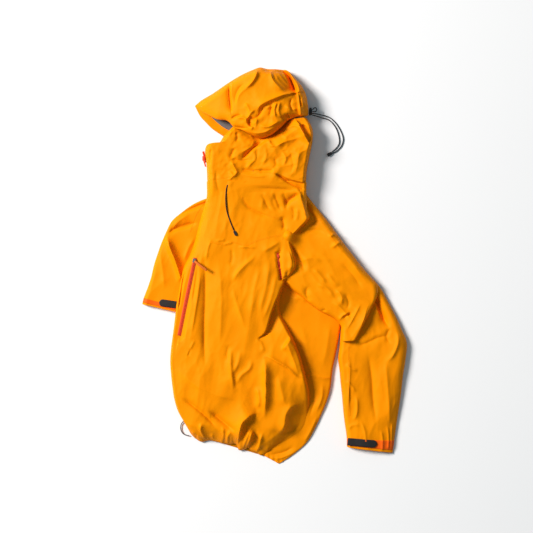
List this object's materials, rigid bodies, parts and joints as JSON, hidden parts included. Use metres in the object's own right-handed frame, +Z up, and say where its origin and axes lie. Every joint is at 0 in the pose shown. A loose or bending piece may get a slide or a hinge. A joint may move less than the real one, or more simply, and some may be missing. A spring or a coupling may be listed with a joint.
{
  "type": "hardshell jacket",
  "caption": "Hooded hardshell jacket laid flat in profile, with chest, front and underarm zips, a hinging hood and sleeves, peeling cuff tabs and cinch cords.",
  "frame": {"origin": "centre of the laid-out jacket's plan outline, on the floor it lies on, without its free cords", "axes": "+Y from hem to hood, -X towards the centre front, +Z up from the floor towards the viewer"},
  "size_m": [0.74, 1.1074, 0.084],
  "materials": {
    "shell_cloth": "ripstop, water-repellent face",
    "lining_cloth": "light grey knit backer",
    "coral_tape": "laminated zip tape",
    "orange_band": "bound edge",
    "black_plastic": "moulded, satin",
    "black_cord": "braided sheath",
    "grey_cord": "braided elastic",
    "tab_laminate": "moulded, matt",
    "hook_tape": "hook tape",
    "spring_steel": "drawn wire"
  },
  "bodies": {
    "torso": {"front_panel_left": "shell_cloth", "front_panel_right": "shell_cloth", "shoulder_yoke_left": "shell_cloth", "shoulder_yoke_right": "shell_cloth", "side_panel_left": "shell_cloth", "back_panel": "shell_cloth", "hem_facing": "shell_cloth", "storm_flap": "shell_cloth", "chest_pocket_bag": "shell_cloth", "collar_left": "shell_cloth", "collar_right": "shell_cloth", "chin_guard": "lining_cloth", "main_zip": "coral_tape", "main_zip_collar": "coral_tape", "chest_zip_tape": "coral_tape", "chest_zip_teeth": "coral_tape", "pit_zip": "coral_tape", "hood_cord_end": "black_plastic", "collar_eyelet": "black_plastic", "collar_cord_end": "black_plastic", "hem_cord_lock_body": "black_plastic", "hood_cord_strand_a": "black_cord", "hood_cord_strand_b": "black_cord", "collar_cord": "black_cord", "hang_loop": "black_cord", "hem_drawcord": "grey_cord", "hem_cord_loop": "grey_cord"},
    "chest_zip_slider": {"chest_zip_slider": "black_plastic"},
    "chest_zip_pull": {"chest_zip_pull": "black_plastic"},
    "main_zip_slider": {"main_zip_slider": "black_plastic"},
    "main_zip_pull": {"main_zip_pull": "black_plastic"},
    "pit_zip_slider": {"pit_zip_slider": "black_plastic"},
    "hood": {"hood_brim": "shell_cloth", "hood_crown": "shell_cloth", "hood_side_left": "shell_cloth", "hood_side_right": "shell_cloth", "hood_lining": "lining_cloth", "hood_back_panel": "shell_cloth", "hood_cord_lock_body": "black_plastic", "hood_cord_lock_spring": "spring_steel", "hood_cord_bight": "black_cord"},
    "hood_cord_lock_button": {"hood_cord_lock_button": "black_plastic"},
    "hem_cord_lock_button": {"hem_cord_lock_button": "black_plastic"},
    "left_upper_sleeve": {"left_upper_sleeve": "shell_cloth"},
    "left_forearm": {"left_lower_sleeve": "shell_cloth", "left_cuff_band": "orange_band", "left_hook_patch": "hook_tape"},
    "left_cuff_tab": {"left_cuff_tab": "tab_laminate"},
    "right_sleeve": {"right_sleeve": "shell_cloth", "right_cuff_band": "orange_band", "right_hook_patch": "hook_tape"},
    "right_cuff_tab": {"right_cuff_tab": "tab_laminate"}
  },
  "joints": [
    {"name": "chest_zip", "type": "slide", "parent": "torso", "child": "chest_zip_slider", "axis": [-0.2048, -0.9786, -0.0205], "range_m": [0, 0.2]},
    {"name": "chest_pull_lift", "type": "hinge", "parent": "chest_zip_slider", "child": "chest_zip_pull", "pos_m": [-0.22402, 0.01551, 0.05318], "axis": [-0.5736, -0.8192, 0], "range_deg": [0, 120]},
    {"name": "main_zip", "type": "slide", "parent": "torso", "child": "main_zip_slider", "axis": [0.083, -0.9965, 0], "range_m": [0, 0.04]},
    {"name": "main_pull_lift", "type": "hinge", "parent": "main_zip_slider", "child": "main_zip_pull", "pos_m": [-0.1986, 0.2912, 0.017], "axis": [-1, 0, 0], "range_deg": [0, 110]},
    {"name": "pit_zip", "type": "slide", "parent": "torso", "child": "pit_zip_slider", "axis": [0.1376, -0.9905, 0], "range_m": [0, 0.055]},
    {"name": "hood_fold", "type": "hinge", "parent": "torso", "child": "hood", "pos_m": [-0.019, 0.3995, 0.066], "axis": [0.9949, 0.1004, 0], "range_deg": [0, 55]},
    {"name": "hood_lock_press", "type": "slide", "parent": "hood", "child": "hood_cord_lock_button", "axis": [0, -1, 0], "range_m": [0, 0.0025], "stiffness_N_per_m": 200},
    {"name": "hem_lock_press", "type": "slide", "parent": "torso", "child": "hem_cord_lock_button", "axis": [-1, 0, 0], "range_m": [0, 0.002], "stiffness_N_per_m": 200},
    {"name": "left_shoulder_swing", "type": "hinge", "parent": "torso", "child": "left_upper_sleeve", "pos_m": [0.08, 0.206, 0.02], "axis": [0, 0, 1], "range_deg": [0, 20]},
    {"name": "left_elbow_bend", "type": "hinge", "parent": "left_upper_sleeve", "child": "left_forearm", "pos_m": [0.183, -0.209, 0.02], "axis": [0, 0, -1], "range_deg": [0, 12]},
    {"name": "left_tab_peel", "type": "hinge", "parent": "left_forearm", "child": "left_cuff_tab", "pos_m": [0.2073, -0.493, 0.0204], "axis": [-0.096, 0.9954, 0], "range_deg": [-95, 0]},
    {"name": "right_shoulder_swing", "type": "hinge", "parent": "torso", "child": "right_sleeve", "pos_m": [-0.12, 0.128, 0.005], "axis": [0, 0, -1], "range_deg": [0, 12]},
    {"name": "right_tab_peel", "type": "hinge", "parent": "right_sleeve", "child": "right_cuff_tab", "pos_m": [-0.286, -0.1099, 0.0098], "axis": [0.184, 0.9829, 0], "range_deg": [0, 80]}
  ]
}
